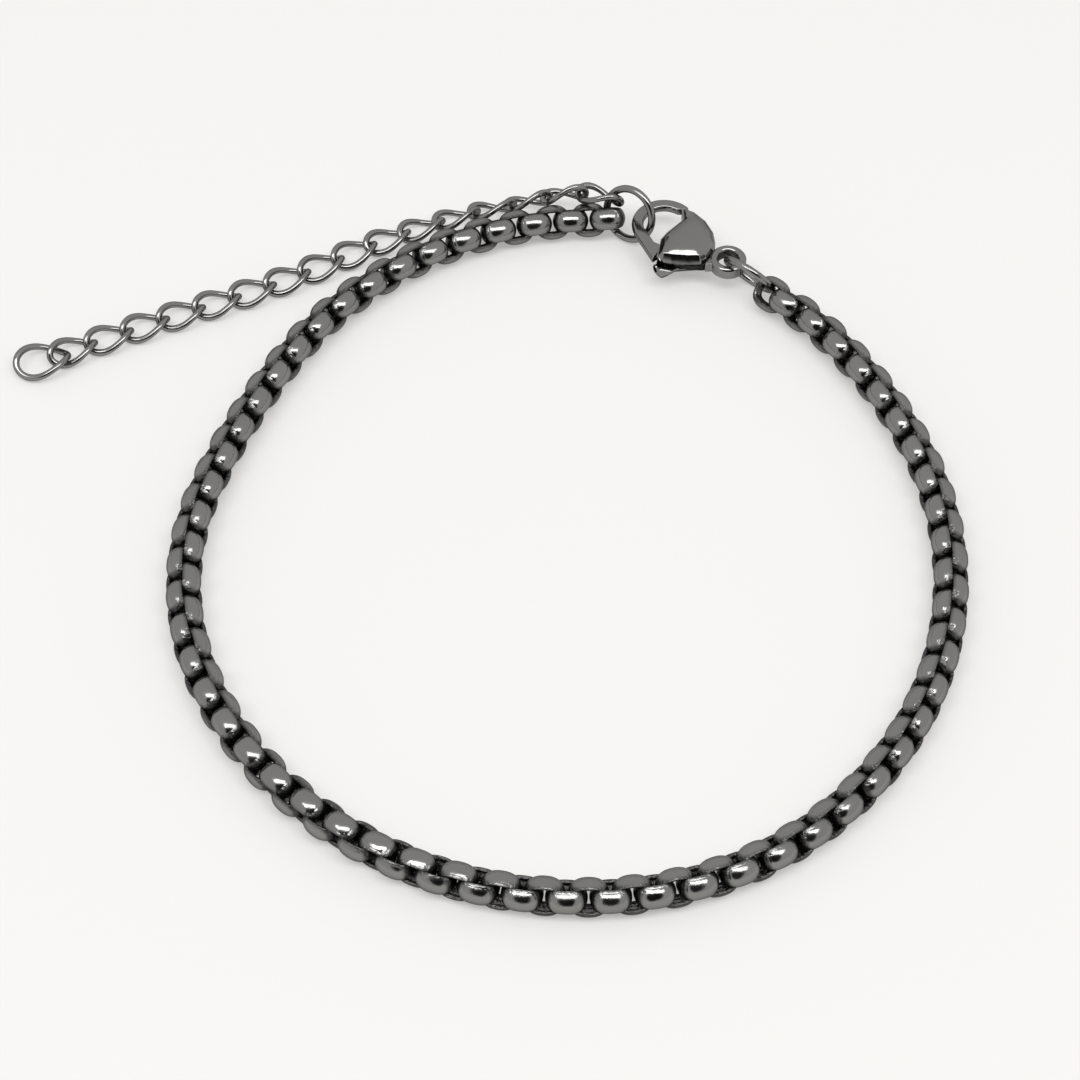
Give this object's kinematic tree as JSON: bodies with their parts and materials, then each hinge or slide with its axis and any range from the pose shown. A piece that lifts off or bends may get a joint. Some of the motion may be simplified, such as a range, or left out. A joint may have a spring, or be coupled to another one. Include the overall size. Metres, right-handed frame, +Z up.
{
  "type": "hand chain",
  "caption": "Round box chain bracelet closed in a loop by a lobster clasp hooked into a jump ring, with a twisted curb extender tail.",
  "frame": {"origin": "middle of the lying bracelet's outline seen from above, on the surface that it lies on", "axes": "+X to the right and +Y away from the viewer as it lies in the picture, +Z up out of the table and along the wrist"},
  "size_m": [0.0778, 0.0726, 0.0051],
  "materials": {
    "box_link_steel": "polished stainless steel, dark between the links",
    "ring_steel": "polished stainless steel wire",
    "clasp_body_steel": "polished cast stainless steel",
    "clasp_lever_steel": "mirror polished stainless steel",
    "extender_steel": "polished stainless steel wire"
  },
  "bodies": {
    "bracelet": {"box_chain": "box_link_steel", "clasp_ring": "ring_steel", "closure_ring": "ring_steel", "clasp_body": "clasp_body_steel", "extender_link_01": "extender_steel", "extender_link_02": "extender_steel", "extender_link_03": "extender_steel", "extender_link_04": "extender_steel", "extender_link_05": "extender_steel", "extender_link_06": "extender_steel", "extender_link_07": "extender_steel", "extender_link_08": "extender_steel", "extender_link_09": "extender_steel", "extender_link_10": "extender_steel", "extender_link_11": "extender_steel", "extender_link_12": "extender_steel", "extender_link_13": "extender_steel", "extender_link_14": "extender_steel", "extender_link_15": "extender_steel", "extender_link_16": "extender_steel", "extender_link_17": "extender_steel"},
    "lever": {"clasp_lever": "clasp_lever_steel"}
  },
  "joints": [
    {"name": "lever_hinge", "type": "hinge", "parent": "bracelet", "child": "lever", "pos_m": [0.01792, 0.02828, 0.00232], "axis": [0, 0, 1], "range_deg": [0, 16], "stiffness_Nm_per_rad": 0.003, "springref_deg": -34.38}
  ]
}
